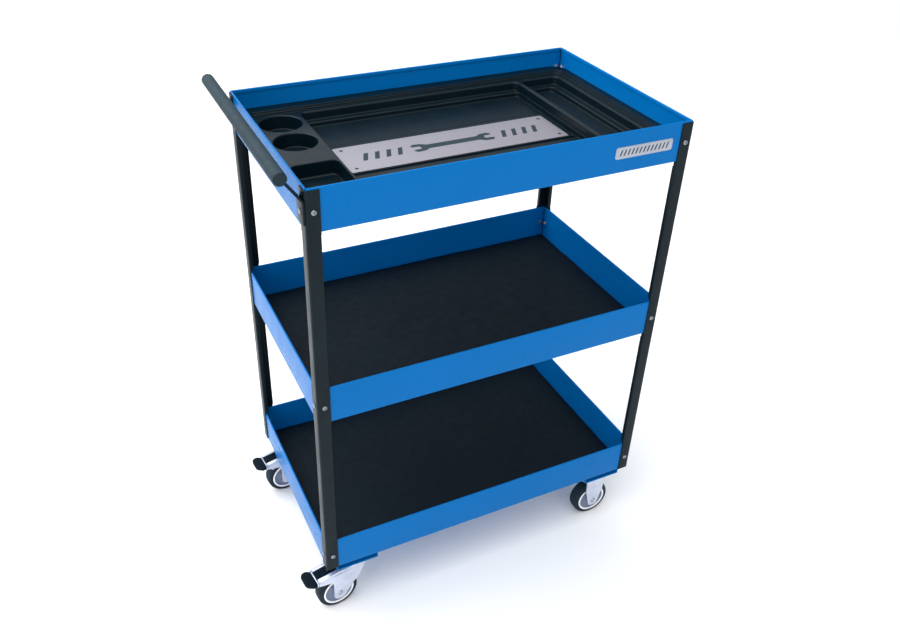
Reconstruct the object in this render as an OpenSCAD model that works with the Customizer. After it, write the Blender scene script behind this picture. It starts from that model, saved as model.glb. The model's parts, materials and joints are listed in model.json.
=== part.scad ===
// Three-tray tool cart: folded steel trays on four lipped corner posts, a moulded organiser in the
// top tray, a push handle at the left end, two braked swivel casters and two rigid casters.
// Millimetres. +X runs along the cart away from the handle, +Y to the back, +Z up.
// The origin is on the floor, in the middle of the cart's whole outline.

/* [Trays] */
// Outside length of a tray
tray_l = 650; // [560:1:760]
// Outside depth of a tray
tray_d = 396; // [360:1:460]
// Height of a tray's folded wall
wall_h = 70; // [60:1:80]
// Sheet thickness of a tray
sheet_t = 1.2; // [1:0.1:2]
// Thickness of the hem folded over at a tray's rim
hem_t = 3; // [2.4:0.1:3.4]
// Height of the hem fold
hem_h = 6; // [5:1:16]
// Open slit left between two walls at a corner
corner_gap = 4; // [3.5:0.5:6]
// Height of the top tray's rim above the floor
top_rim_z = 890; // [800:1:960]
// Distance from one tray's rim to the next one below
tray_pitch = 346; // [300:1:380]

/* [Posts] */
// Width of each flange of a corner post
post_w = 22.5; // [18:0.5:32]
// Sheet thickness of a post
post_t = 2; // [1.5:0.1:3]
// Depth of the stiffening lip on a flange's free edge
lip_d = 8; // [5:0.5:12]
// Outside corner radius of a post
post_r = 4; // [2:0.5:6]
// Depth of the post's top below the top rim
post_drop = 3; // [1:0.5:6]

/* [Fasteners] */
// Radius of a frame screw's shank
screw_r = 2.5; // [2:0.1:3]
// Distance of a frame screw from the post's outside corner
screw_inset = 12.5; // [10:0.5:15]
// Depth of a frame screw below the tray's rim
screw_drop = 36; // [28:1:44]
// Radius of a frame screw's pan head
screw_head_r = 4.75; // [4:0.05:5.5]
// Height of a frame screw's pan head
screw_head_h = 2.6; // [2:0.1:3.5]

/* [Organiser] */
// Depth of the organiser's border below the rim
border_drop = 35; // [30:1:40]
// Wall thickness of the moulded organiser
mould_t = 2.2; // [1.5:0.1:3]
// Radius of a can holder
can_r = 35; // [30:0.5:38]
// Distance between the two can holders
can_pitch = 80; // [76:1:84]
// Corner radius of the organiser's outline
mould_corner_r = 30; // [26:1:36]

/* [Handle] */
// Radius of the handle bar
bar_r = 10.2; // [8:0.1:14]
// Distance of the bar's axis beyond the tray's end
bar_out = 33; // [28:1:45]
// Height of the bar's axis above the top rim
bar_up = 21.5; // [15:0.5:40]
// Thickness of a handle bracket
bracket_t = 3; // [2:0.5:4]
// Width of a handle bracket
bracket_w = 26; // [20:1:34]

/* [Casters] */
// Radius of a wheel
wheel_r = 40; // [36:1:42]
// Width of a wheel's tread
wheel_w = 25; // [22:1:28]
// Distance of a caster's centre from the middle of the cart, along X
caster_x = 267; // [240:1:280]
// Distance of a caster's centre from the middle of the cart, along Y
caster_y = 164; // [150:1:169]
// Trail of a swivel caster's axle behind its kingpin
trail = 35; // [30:1:38]
// Angle the swivel casters are turned through from straight ahead
swivel_turn = 6.5; // [-20:0.5:20]
// Width of the channel that carries two casters
channel_w = 80; // [76:1:90]
// Height of that channel
channel_h = 11; // [9:1:14]

/* [Hidden] */
$fn = 48;

CASTERS = ["front_left", "back_left", "front_right", "back_right"];
SWIVELS = ["front_left", "back_left"];
RIGIDS = ["front_right", "back_right"];
WHEEL_PARTS = ["tyre", "wheel", "bush", "thread_guards"];
SWIVEL_PARTS = [
    "top_plate", "kingpin", "swivel_race", "fork", "axle", "brake_pin", "brake_lever", "brake_pedal"
];
RIGID_PARTS = ["fork", "axle"];
FRAME_PARTS = [
    "tray_top", "tray_middle", "tray_bottom",
    "post_front_left", "post_front_right", "post_back_left", "post_back_right",
    "tray_insert", "name_plate", "name_plate_rivets", "front_badge",
    "mat_middle", "mat_bottom", "channel_left", "channel_right",
    "handle_bar", "handle_end_caps", "handle_bracket_front", "handle_bracket_back",
    "frame_screws", "frame_nuts", "caster_bolts", "caster_nuts", "swivel_balls"
];

// Levels
rims = [top_rim_z, top_rim_z - tray_pitch, top_rim_z - 2 * tray_pitch];
bottom_z = rims[2] - wall_h;
channel_z = bottom_z - channel_h;
post_top_z = top_rim_z - post_drop;
post_foot_z = bottom_z + 2;

// Outsides of the posts
post_x = tray_l / 2 + post_t;
post_y = tray_d / 2 + post_t;

// The whole outline runs from the handle bar to the screw heads at the other end
outline_low = -(tray_l / 2 + bar_out + bar_r);
outline_high = post_x + screw_head_h;
shift_x = -(outline_low + outline_high) / 2;

// Frame fasteners
hole_slack = 0.2;
nut_r = 4.6;
nut_h = 4;
nut_bore_r = screw_r + 0.05;
screw_tip = 1.3;

// Mats
mat_t = 3;
mat_gap = 3.8;

// Organiser: levels are depths below the rim, walls are distances from the middle of the tray
step_1 = 38.2;
step_2 = 41.5;
shelf_drop = 57;
floor_drop = 65;
cup_drop = 66;
strip_h = 0.8;
pad_h = 2;
mould_gap = 0.8;
border_left = -306;
border_right = 308;
border_y = 173;
tread_right = 302;
block_edge = -217.5;
divider_left = 206;
divider_right = 216;
long_right = 294;
long_floor_right = 280;
shelf_y = 160;
floor_y = 147;
can_x = -261;
can_y = 128;
bin_x = [-300, -222];
bin_y = [-165, -37];
pad_y = [-56, 55];
strip_y = 99;

// Name plate
plate_x = [-204, 190];
plate_y = [-53, 42];
plate_t = 1;
rivet_inset = 12;
rivet_r = 2;
rivet_head_r = 3.4;
pad_z = top_rim_z - floor_drop + pad_h;
plate_mid = [(plate_x[0] + plate_x[1]) / 2, (plate_y[0] + plate_y[1]) / 2];
rivet_dx = (plate_x[1] - plate_x[0]) / 2 - rivet_inset;
rivet_dy = (plate_y[1] - plate_y[0]) / 2 - rivet_inset;

// Front badge
badge_l = 110;
badge_h = 20;
badge_t = 0.8;
badge_x = 235;
badge_drop = 35;

// Handle
bar_x = -(tray_l / 2 + bar_out);
bar_z = top_rim_z + bar_up;
bar_wall = 1.5;
cap_t = 1.6;
bracket_low = 54;
bracket_bend = 19;
bracket_y = post_y - bracket_w / 2;

// Channels and caster plates
channel_t = 2;
channel_r = 3;
channel_l = tray_d - 2;
plate_l = 76;
plate_w = 52;
cast_plate_t = 3;
bolt_dx = 30;
bolt_dy = 18;
bolt_r = 3;
bolt_hole_r = 3.3;
bolt_head_r = 5.5;
bolt_head_h = 4;
bolt_nut_h = 5;

// Caster frames
fork_half = 18.5;
fork_t = 2.5;
web_top = 98;
web_t = 2.5;
kingpin_r = 5;
race_r = 21;
race_top = channel_z - cast_plate_t;
ball_r = 2.5;
ball_ring_r = 15;
ball_count = 12;
ball_z = web_top + ball_r + 0.3;
axle_r = 4;
axle_head_r = 5.5;
axle_head_h = 2;
running = 0.06;

// Brake
brake_x = -69;
brake_z = 86;
brake_pin_r = 2.5;
barrel_r = 5;
shoe_r = 3;
shoe_reach = 14;
shoe_angle = -67.5;
shoe_inset = 6;
strip_x = -78;
strip_half_t = 1.1;
pedal_x = [-99, strip_x - strip_half_t];
pedal_z = [82, 90];
pedal_half = 21.5;
pedal_corner_r = 9;
rib_count = 5;
release_half = 8;

// Wheels
tread_in = 30.7;
rim_in = 27.2;
rim_proud = 0.6;
hub_r = 9;
bush_r = 6;
guard_r = 26.6;

function caster_side(i) = [i < 2 ? -caster_x : caster_x, i % 2 == 0 ? -caster_y : caster_y];

module in_cart() {
    translate([shift_x, 0, 0]) children();
}

module at_caster(i) {
    in_cart() translate([caster_side(i)[0], caster_side(i)[1], 0]) children();
}

// A swivel caster's own frame, turned about its kingpin
module at_yoke(i) {
    at_caster(i) rotate([0, 0, i < 2 ? swivel_turn : 0]) children();
}

module at_wheel(i) {
    at_yoke(i) translate([i < 2 ? -trail : 0, 0, wheel_r]) rotate([90, 0, 0]) children();
}

// Box given by its low and high corners
module block(low, high) {
    translate(low) cube([for (k = [0:2]) high[k] - low[k]]);
}

// Rectangle with round corners, given by its limits
module round_rect(x, y, r) {
    translate([x[0] + r, y[0]]) square([x[1] - x[0] - 2 * r, y[1] - y[0]]);
    translate([x[0], y[0] + r]) square([x[1] - x[0], y[1] - y[0] - 2 * r]);
    for (cx = [x[0] + r, x[1] - r], cy = [y[0] + r, y[1] - r]) {
        translate([cx, cy]) circle(r);
    }
}

// The four corners of a rectangle centred on the axis
module at_corners(dx, dy) {
    for (sx = [-1, 1], sy = [-1, 1]) {
        translate([sx * dx, sy * dy, 0]) children();
    }
}

// ---- trays ----

module wall_profile() {
    square([sheet_t, wall_h]);
    translate([0, wall_h - hem_h]) square([hem_t, hem_h - hem_t / 2]);
    translate([hem_t / 2, wall_h - hem_t / 2]) circle(hem_t / 2);
}

// A wall standing on the plane y = 0, with its outside towards -Y
module wall(length) {
    translate([-length / 2, 0, 0]) rotate([90, 0, 90]) linear_extrude(length) wall_profile();
}

// Every frame screw's place on one tray: [position, turn about Z], the screw pointing along its own +X
function screw_places(rim) = [
    for (sx = [-1, 1], sy = [-1, 1], k = [0, 1])
        k == 0
            ? [[sx * (post_x - screw_inset), sy * post_y, rim - screw_drop], sy < 0 ? 90 : -90]
            : [[sx * post_x, sy * (post_y - screw_inset), rim - screw_drop], sx < 0 ? 0 : 180]
];

module at_screws(rim) {
    for (s = screw_places(rim)) {
        translate(s[0]) rotate([0, 0, s[1]]) rotate([0, 90, 0]) children();
    }
}

module tray(rim) {
    color("#0a72b8") in_cart() difference() {
        translate([0, 0, rim - wall_h]) {
            difference() {
                block([-tray_l / 2, -tray_d / 2, 0], [tray_l / 2, tray_d / 2, sheet_t]);
                for (sx = [-1, 1], sy = [-1, 1]) {
                    translate([sx * tray_l / 2, sy * tray_d / 2, 0]) {
                        cube([2 * corner_gap, 2 * corner_gap, 4 * sheet_t], center = true);
                    }
                }
            }
            for (turn = [0, 180]) {
                rotate([0, 0, turn]) translate([0, -tray_d / 2, 0]) wall(tray_l - 2 * corner_gap);
                rotate([0, 0, turn + 90]) translate([0, -tray_l / 2, 0]) wall(tray_d - 2 * corner_gap);
            }
        }
        at_screws(rim) cylinder(h = 20, r = screw_r + hole_slack, center = true);
    }
}

module tray_top() { tray(rims[0]); }
module tray_middle() { tray(rims[1]); }
module tray_bottom() { tray(rims[2]); }

// ---- posts ----

// The lipped angle is drawn for the front left corner, with its outside corner at the origin
module post_angle() {
    difference() {
        union() {
            translate([post_r, 0]) square([post_w - post_r, post_t]);
            translate([0, post_r]) square([post_t, post_w - post_r]);
            translate([post_r, post_r]) circle(post_r);
        }
        translate([post_r, post_r]) circle(post_r - post_t);
        translate([post_r, post_t]) square(post_w);
        translate([post_t, post_r]) square(post_w);
    }
}

// The lip's outline between two trays, with its ends cut at 45 degrees
module lip_outline(low, high) {
    polygon([[0, low], [lip_d, low + lip_d], [lip_d, high - lip_d], [0, high]]);
}

module post_lips() {
    for (k = [0, 1]) {
        low = rims[k + 1] + 2;
        high = rims[k] - wall_h - 2;
        translate([post_w, 0, 0]) rotate([90, 0, -90]) mirror([1, 0, 0]) {
            linear_extrude(post_t) lip_outline(low, high);
        }
        translate([0, post_w, 0]) rotate([90, 0, 0]) linear_extrude(post_t) lip_outline(low, high);
    }
}

module post(flip_x, flip_y) {
    color("#333b3e") in_cart() difference() {
        mirror([flip_x, 0, 0]) mirror([0, flip_y, 0]) translate([-post_x, -post_y, 0]) {
            translate([0, 0, post_foot_z]) linear_extrude(post_top_z - post_foot_z) post_angle();
            post_lips();
        }
        for (rim = rims) {
            at_screws(rim) cylinder(h = 20, r = screw_r + hole_slack, center = true);
        }
    }
}

module post_front_left() { post(0, 0); }
module post_front_right() { post(1, 0); }
module post_back_left() { post(0, 1); }
module post_back_right() { post(1, 1); }

// ---- organiser ----

// A pocket sunk to a depth below the rim; grow thickens it to its outside
module pocket(x, y, drop, r, grow = 0) {
    translate([0, 0, top_rim_z - drop - grow]) {
        linear_extrude(drop - border_drop + 1 + grow) {
            round_rect([x[0] - grow, x[1] + grow], [y[0] - grow, y[1] + grow], r + grow);
        }
    }
}

module can_cup(k, grow = 0) {
    translate([can_x, can_y - k * can_pitch, top_rim_z - cup_drop - grow]) {
        cylinder(h = cup_drop - border_drop + 1 + grow, r = can_r + grow, $fn = 96);
    }
}

module pockets(grow = 0) {
    pocket([border_left, border_right], [-border_y, border_y], step_1, 12, grow);
    pocket([border_left, tread_right], [-border_y, border_y], step_2, 12, grow);
    pocket([block_edge, divider_left], [-shelf_y, shelf_y], shelf_drop, 8, grow);
    pocket([block_edge, divider_left - 2], [-floor_y, floor_y], floor_drop, 8, grow);
    pocket([divider_right, long_right], [-shelf_y, shelf_y], shelf_drop, 8, grow);
    pocket([divider_right + 2, long_floor_right], [-floor_y, floor_y], floor_drop, 8, grow);
    pocket(bin_x, bin_y, cup_drop, 12, grow);
    can_cup(0, grow);
    can_cup(1, grow);
}

module tray_insert() {
    half_x = tray_l / 2 - sheet_t - mould_gap;
    half_y = tray_d / 2 - sheet_t - mould_gap;
    border_z = top_rim_z - border_drop;
    floor_z = top_rim_z - floor_drop;
    color("#20282b") in_cart() {
        difference() {
            union() {
                intersection() {
                    pockets(mould_t);
                    block([-half_x, -half_y, 0], [half_x, half_y, border_z]);
                }
                translate([0, 0, border_z - mould_t]) linear_extrude(mould_t) {
                    round_rect([-half_x, half_x], [-half_y, half_y], mould_corner_r);
                }
            }
            pockets();
        }
        block([block_edge + 3, pad_y[0], floor_z - 0.5], [divider_left - 4, pad_y[1], floor_z + pad_h]);
        block([block_edge + 3, pad_y[1] - 1, floor_z - 0.5], [divider_left - 4, strip_y, floor_z + strip_h]);
    }
}

module name_plate() {
    color("#c9c9cf") in_cart() difference() {
        translate([0, 0, pad_z]) linear_extrude(plate_t) round_rect(plate_x, plate_y, 2);
        translate([plate_mid[0], plate_mid[1], pad_z]) {
            at_corners(rivet_dx, rivet_dy) cylinder(h = 10, r = rivet_r + hole_slack, center = true);
        }
    }
}

module name_plate_rivets() {
    color("#2a2a2c") in_cart() translate([plate_mid[0], plate_mid[1], pad_z + plate_t]) {
        at_corners(rivet_dx, rivet_dy) {
            cylinder(h = 0.6, r = rivet_head_r);
            translate([0, 0, -plate_t]) cylinder(h = plate_t + 0.3, r = rivet_r);
        }
    }
}

module front_badge() {
    color("#d0d2d6") in_cart() translate([badge_x, -tray_d / 2, top_rim_z - badge_drop]) {
        rotate([90, 0, 0]) linear_extrude(badge_t) {
            round_rect([-badge_l / 2, badge_l / 2], [-badge_h / 2, badge_h / 2], 4);
        }
    }
}

// ---- mats ----

module mat(rim) {
    color("#15181a") in_cart() translate([0, 0, rim - wall_h + sheet_t]) linear_extrude(mat_t) {
        round_rect(
            [-tray_l / 2 + sheet_t + mat_gap, tray_l / 2 - sheet_t - mat_gap],
            [-tray_d / 2 + sheet_t + mat_gap, tray_d / 2 - sheet_t - mat_gap],
            5
        );
    }
}

module mat_middle() { mat(rims[1]); }
module mat_bottom() { mat(rims[2]); }

// ---- channels under the bottom tray ----

module channel_profile() {
    difference() {
        union() {
            round_rect([-channel_w / 2, channel_w / 2], [0, channel_h], channel_r);
            translate([-channel_w / 2, channel_r]) square([channel_w, channel_h - channel_r]);
        }
        translate([-channel_w / 2 + channel_t, channel_t]) square([channel_w - 2 * channel_t, channel_h]);
    }
}

module channel(side) {
    color("#0a62a0") in_cart() difference() {
        translate([side * caster_x, channel_l / 2, channel_z]) rotate([90, 0, 0]) {
            linear_extrude(channel_l) channel_profile();
        }
        for (sy = [-1, 1]) {
            translate([side * caster_x, sy * caster_y, channel_z]) {
                at_corners(bolt_dx, bolt_dy) cylinder(h = 10, r = bolt_hole_r, center = true);
            }
        }
    }
}

module channel_left() { channel(-1); }
module channel_right() { channel(1); }

// ---- handle ----

module handle_bar() {
    color("#4a5356") in_cart() translate([bar_x, post_y, bar_z]) rotate([90, 0, 0]) {
        difference() {
            cylinder(h = 2 * post_y, r = bar_r, $fn = 96);
            translate([0, 0, -1]) cylinder(h = 2 * post_y + 2, r = bar_r - bar_wall, $fn = 96);
        }
    }
}

module handle_end_caps() {
    color("#3d4548") in_cart() translate([bar_x, 0, bar_z]) {
        for (turn = [90, -90]) {
            rotate([turn, 0, 0]) translate([0, 0, post_y]) rotate_extrude($fn = 96) polygon([
                [0, -12], [bar_r - bar_wall - 0.1, -12], [bar_r - bar_wall - 0.1, 0],
                [bar_r, 0], [bar_r - cap_t, cap_t], [0, cap_t]
            ]);
        }
    }
}

// A strip screwed to the post's side, bent outwards and up to meet the bar along a radius
module handle_bracket(side) {
    face_x = -post_x;
    bend = [face_x - bracket_t / 2, top_rim_z - bracket_bend];
    run = [bar_x - bend[0], bar_z - bend[1]];
    reach = norm(run);
    lean = atan2(-run[0], run[1]);
    color("#30383b") in_cart() difference() {
        translate([0, side * bracket_y, 0]) {
            block(
                [face_x - bracket_t, -bracket_w / 2, top_rim_z - bracket_low],
                [face_x, bracket_w / 2, bend[1]]
            );
            translate([bend[0], 0, bend[1]]) {
                rotate([90, 0, 0]) cylinder(h = bracket_w, r = bracket_t / 2, center = true);
                rotate([0, -lean, 0]) {
                    block([-bracket_t / 2, -bracket_w / 2, 0], [bracket_t / 2, bracket_w / 2, reach]);
                }
            }
        }
        translate([bar_x, 0, bar_z]) rotate([90, 0, 0]) {
            cylinder(h = 3 * post_y, r = bar_r, center = true, $fn = 96);
        }
        translate([face_x, side * (post_y - screw_inset), top_rim_z - screw_drop]) rotate([0, 90, 0]) {
            cylinder(h = 20, r = screw_r + hole_slack, center = true);
        }
    }
}

module handle_bracket_front() { handle_bracket(-1); }
module handle_bracket_back() { handle_bracket(1); }

// ---- frame fasteners ----

// The two upper screws on the left also hold the handle's brackets
function under_head(rim, place) = rim == rims[0] && place[0] == -post_x ? bracket_t : 0;

module pan_screw(pad) {
    translate([0, 0, -pad - screw_head_h]) {
        cylinder(h = screw_head_h * 0.45, r1 = screw_head_r * 0.72, r2 = screw_head_r * 0.95);
        translate([0, 0, screw_head_h * 0.45]) cylinder(h = screw_head_h * 0.55, r = screw_head_r * 0.95);
    }
    translate([0, 0, -pad - 0.1]) {
        cylinder(h = pad + post_t + sheet_t + nut_h + screw_tip, r = screw_r);
    }
}

module frame_screws() {
    color("#d5d5da") in_cart() {
        for (rim = rims, s = screw_places(rim)) {
            translate(s[0]) rotate([0, 0, s[1]]) rotate([0, 90, 0]) pan_screw(under_head(rim, s[0]));
        }
    }
}

module frame_nuts() {
    color("#c8c8cd") in_cart() {
        for (rim = rims) {
            at_screws(rim) translate([0, 0, post_t + sheet_t]) difference() {
                rotate([0, 0, 30]) cylinder(h = nut_h, r = nut_r, $fn = 6);
                translate([0, 0, -1]) cylinder(h = nut_h + 2, r = nut_bore_r, $fn = 48);
            }
        }
    }
}

// ---- caster fasteners ----

module at_caster_bolts() {
    for (i = [0:3]) {
        at_caster(i) at_corners(bolt_dx, bolt_dy) children();
    }
}

module caster_bolts() {
    color("#c4c6ca") at_caster_bolts() translate([0, 0, channel_z + channel_t]) {
        cylinder(h = bolt_head_h, r = bolt_head_r, $fn = 6);
        translate([0, 0, -(channel_t + cast_plate_t + bolt_nut_h + 0.6)]) {
            cylinder(h = channel_t + cast_plate_t + bolt_nut_h + 0.7, r = bolt_r);
        }
    }
}

module caster_nuts() {
    color("#b8babf") at_caster_bolts() translate([0, 0, race_top - bolt_nut_h]) difference() {
        cylinder(h = bolt_nut_h, r = bolt_head_r, $fn = 6);
        translate([0, 0, -1]) cylinder(h = bolt_nut_h + 2, r = bolt_r + 0.05);
    }
}

// ---- swivel casters ----

module top_plate_blank() {
    difference() {
        translate([0, 0, race_top]) linear_extrude(cast_plate_t) {
            round_rect([-plate_l / 2, plate_l / 2], [-plate_w / 2, plate_w / 2], 5);
        }
        translate([0, 0, race_top]) at_corners(bolt_dx, bolt_dy) cylinder(h = 10, r = bolt_hole_r, center = true);
    }
}

module top_plate() {
    color("#c3c6cc") difference() {
        top_plate_blank();
        translate([0, 0, race_top]) cylinder(h = 10, r = kingpin_r, center = true);
    }
}

// Rivetted kingpin with a nut under the fork's web
module kingpin() {
    web_low = web_top - web_t;
    color("#b9bcc2") {
        translate([0, 0, web_low - 7]) cylinder(h = channel_z - web_low + 7, r = kingpin_r);
        translate([0, 0, web_low - 6]) cylinder(h = 5.4, r = 8.6, $fn = 6);
    }
}

// Upper race: a pressed ring whose skirt covers the balls
module swivel_race() {
    color("#c3c6cc") rotate_extrude($fn = 96) difference() {
        polygon([
            [kingpin_r, race_top], [race_r - 4, race_top], [race_r, race_top - 3], [race_r, web_top + 0.6],
            [race_r - 2, web_top + 0.6], [race_r - 2, ball_z + ball_r], [kingpin_r, ball_z + ball_r]
        ]);
        translate([ball_ring_r, ball_z]) circle(ball_r + 0.1);
    }
}

module swivel_balls() {
    color("#e0e0e4") for (i = [0, 1]) {
        at_caster(i) for (k = [0:ball_count - 1]) {
            rotate([0, 0, k * 360 / ball_count]) translate([ball_ring_r, 0, ball_z]) sphere(ball_r, $fn = 24);
        }
    }
}

// Side plate of the swivel fork, seen from the front
module swivel_cheek() {
    polygon([
        [18, web_top], [16.5, 92], [3, 62], [-6, 55], [-25, 28], [-30, 25], [-41, 26], [-47, 32],
        [-47, 71], [-50, 75], [-75, 80.5], [-76.5, 86], [-76.5, 91], [-30, web_top]
    ]);
}

module swivel_fork() {
    color("#c6c9cf") difference() {
        union() {
            for (y = [fork_half, -fork_half + fork_t]) {
                translate([0, y, 0]) rotate([90, 0, 0]) linear_extrude(fork_t) swivel_cheek();
            }
            block([-30, -fork_half, web_top - web_t], [18, fork_half, web_top]);
        }
        cylinder(h = 300, r = kingpin_r + running, center = true);
        translate([-trail, 0, wheel_r]) rotate([90, 0, 0]) cylinder(h = 60, r = axle_r, center = true);
        translate([brake_x, 0, brake_z]) rotate([90, 0, 0]) cylinder(h = 60, r = brake_pin_r, center = true);
    }
}

module axle() {
    color("#b4b7bd") for (turn = [0, 180]) {
        rotate([0, turn, 0]) {
            cylinder(h = fork_half + 0.01, r = axle_r);
            translate([0, 0, fork_half]) rotate_extrude() {
                polygon([[0, 0], [axle_head_r, 0], [axle_head_r * 0.7, axle_head_h], [0, axle_head_h]]);
            }
        }
    }
}

module brake_pin() {
    color("#b4b7bd") translate([brake_x, 0, brake_z]) rotate([90, 0, 0]) {
        cylinder(h = 2 * fork_half + 1, r = brake_pin_r, center = true);
    }
}

// Barrel on the pin with the shoe below it, and the strip that carries the pedal
module brake_lever() {
    inner = fork_half - fork_t - 0.5;
    shoe_half = inner - shoe_inset / 2;
    color("#c6c9cf") difference() {
        union() {
            translate([brake_x, 0, brake_z]) rotate([90, 0, 0]) {
                cylinder(h = 2 * inner, r = barrel_r, center = true);
                rotate([0, 0, shoe_angle]) {
                    translate([shoe_reach, 0, 0]) cylinder(h = 2 * shoe_half, r = shoe_r, center = true);
                    translate([0, -shoe_r, -shoe_half]) cube([shoe_reach, 2 * shoe_r, 2 * shoe_half]);
                }
            }
            block([strip_x, -inner, brake_z + 2], [brake_x, inner, brake_z + 4.5]);
            block(
                [strip_x - strip_half_t, -fork_half, pedal_z[0] - 1],
                [strip_x + strip_half_t, fork_half, pedal_z[1] + 1]
            );
        }
        translate([brake_x, 0, brake_z]) rotate([90, 0, 0]) {
            cylinder(h = 60, r = brake_pin_r + running, center = true);
        }
    }
}

// Foot pedal with a ribbed tread outside the strip, and the release tab inside it
module brake_pedal() {
    rib = (pedal_x[1] - pedal_x[0] - 6) / rib_count;
    color("#1b2022") {
        difference() {
            translate([0, 0, pedal_z[0]]) linear_extrude(pedal_z[1] - pedal_z[0]) {
                round_rect(pedal_x, [-pedal_half, pedal_half], pedal_corner_r);
                translate([pedal_x[1] - pedal_corner_r, -fork_half]) square([pedal_corner_r, 2 * fork_half]);
            }
            for (k = [0:rib_count - 1]) {
                block(
                    [pedal_x[0] + 3 + k * rib, -pedal_half - 1, pedal_z[1] - 1],
                    [pedal_x[0] + 3 + (k + 0.5) * rib, pedal_half + 1, pedal_z[1] + 1]
                );
            }
        }
        block(
            [strip_x + strip_half_t, -release_half, brake_z + barrel_r],
            [brake_x + 4, release_half, brake_z + barrel_r + 4]
        );
    }
}

// ---- rigid casters ----

module rigid_cheek() {
    polygon([
        [-21.5, race_top + 1], [-20, 70], [-10, 31], [-6, 27],
        [6, 27], [10, 31], [20, 70], [21.5, race_top + 1]
    ]);
}

module rigid_fork() {
    color("#c6c9cf") difference() {
        union() {
            top_plate_blank();
            for (y = [fork_half, -fork_half + fork_t]) {
                translate([0, y, 0]) rotate([90, 0, 0]) linear_extrude(fork_t) rigid_cheek();
            }
        }
        translate([0, 0, wheel_r]) rotate([90, 0, 0]) cylinder(h = 60, r = axle_r, center = true);
    }
}

// ---- wheels, drawn about their own axle along Z ----

module tyre() {
    half = wheel_w / 2;
    color("#2b3133") rotate_extrude($fn = 96) difference() {
        union() {
            translate([tread_in, -half]) square([wheel_r - tread_in - 3, wheel_w]);
            translate([tread_in, -half + 3]) square([wheel_r - tread_in, wheel_w - 6]);
            for (y = [-half + 3, half - 3]) {
                translate([wheel_r - 3, y]) circle(3);
            }
        }
        translate([tread_in - 10, -half]) square([10, wheel_w]);
    }
}

module wheel_core() {
    half = wheel_w / 2;
    color("#e6e6ea") rotate_extrude($fn = 96) polygon([
        [bush_r, -half - 1.5], [hub_r, -half - 1.5], [hub_r, -3], [rim_in, -3],
        [rim_in, -half - rim_proud], [tread_in, -half - rim_proud],
        [tread_in, half + rim_proud], [rim_in, half + rim_proud],
        [rim_in, 3], [hub_r, 3], [hub_r, half + 1.5], [bush_r, half + 1.5]
    ]);
}

module bush() {
    color("#a9acb1") difference() {
        cylinder(h = wheel_w + 3.4, r = bush_r, center = true);
        cylinder(h = wheel_w + 10, r = axle_r + running, center = true);
    }
}

module thread_guards() {
    color("#8c929a") for (turn = [0, 180]) {
        rotate([0, turn, 0]) translate([0, 0, wheel_w / 2 - 2]) difference() {
            cylinder(h = 1.2, r = guard_r, $fn = 96);
            translate([0, 0, -1]) cylinder(h = 4, r = hub_r, $fn = 96);
        }
    }
}

// ---- the object ----

tray_top();
tray_middle();
tray_bottom();
post_front_left();
post_front_right();
post_back_left();
post_back_right();
tray_insert();
name_plate();
name_plate_rivets();
front_badge();
mat_middle();
mat_bottom();
channel_left();
channel_right();
handle_bar();
handle_end_caps();
handle_bracket_front();
handle_bracket_back();
frame_screws();
frame_nuts();
caster_bolts();
caster_nuts();
swivel_balls();
for (i = [0:3]) {
    caster = CASTERS[i];
    if (i < 2) {
        at_caster(i) top_plate();
        at_caster(i) kingpin();
        at_caster(i) swivel_race();
        at_yoke(i) swivel_fork();
        at_yoke(i) brake_pin();
        at_yoke(i) brake_lever();
        at_yoke(i) brake_pedal();
    } else {
        at_caster(i) rigid_fork();
    }
    at_wheel(i) axle();
    at_wheel(i) tyre();
    at_wheel(i) wheel_core();
    at_wheel(i) bush();
    at_wheel(i) thread_guards();
}
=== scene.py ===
"""Looks for the three-tray tool cart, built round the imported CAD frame.

Shapes are drawn in millimetres, with X and Y measured from the middle of the trays and Z from the
floor, and are turned into the frame's metres when a piece is finished.
"""
import json
import math

import bmesh
import bpy
from mathutils import Matrix, Vector, noise


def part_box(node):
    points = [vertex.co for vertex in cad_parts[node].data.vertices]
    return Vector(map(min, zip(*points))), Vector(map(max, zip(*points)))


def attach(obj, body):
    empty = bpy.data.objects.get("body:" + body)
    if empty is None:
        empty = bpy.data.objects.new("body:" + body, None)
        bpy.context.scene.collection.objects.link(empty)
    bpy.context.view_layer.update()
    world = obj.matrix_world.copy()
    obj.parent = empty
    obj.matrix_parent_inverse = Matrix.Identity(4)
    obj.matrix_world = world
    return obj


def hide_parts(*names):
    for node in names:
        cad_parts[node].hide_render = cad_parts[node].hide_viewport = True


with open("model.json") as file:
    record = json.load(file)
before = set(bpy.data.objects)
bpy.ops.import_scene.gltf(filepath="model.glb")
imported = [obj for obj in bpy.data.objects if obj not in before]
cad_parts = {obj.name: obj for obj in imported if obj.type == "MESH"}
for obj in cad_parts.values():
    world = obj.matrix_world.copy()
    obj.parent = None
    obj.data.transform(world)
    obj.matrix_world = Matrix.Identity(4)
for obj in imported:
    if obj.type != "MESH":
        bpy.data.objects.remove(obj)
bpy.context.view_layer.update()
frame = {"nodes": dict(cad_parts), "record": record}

MM = 0.001
CORNERS = ((-1, -1), (-1, 1), (1, -1), (1, 1))
MERGE = 1e-4  # points nearer than this, in drawn millimetres, are one point
NODE_BODY = {
    node: body
    for body, nodes in frame["record"]["behaviour"]["bodies"].items()
    for node in nodes
}


def box_mm(node):
    """A CAD node's lowest and highest corner, in millimetres from the middle of the trays."""
    low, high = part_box(node)
    move = Vector((MID_X, 0, 0))
    return (low - move) / MM, (high - move) / MM


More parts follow.
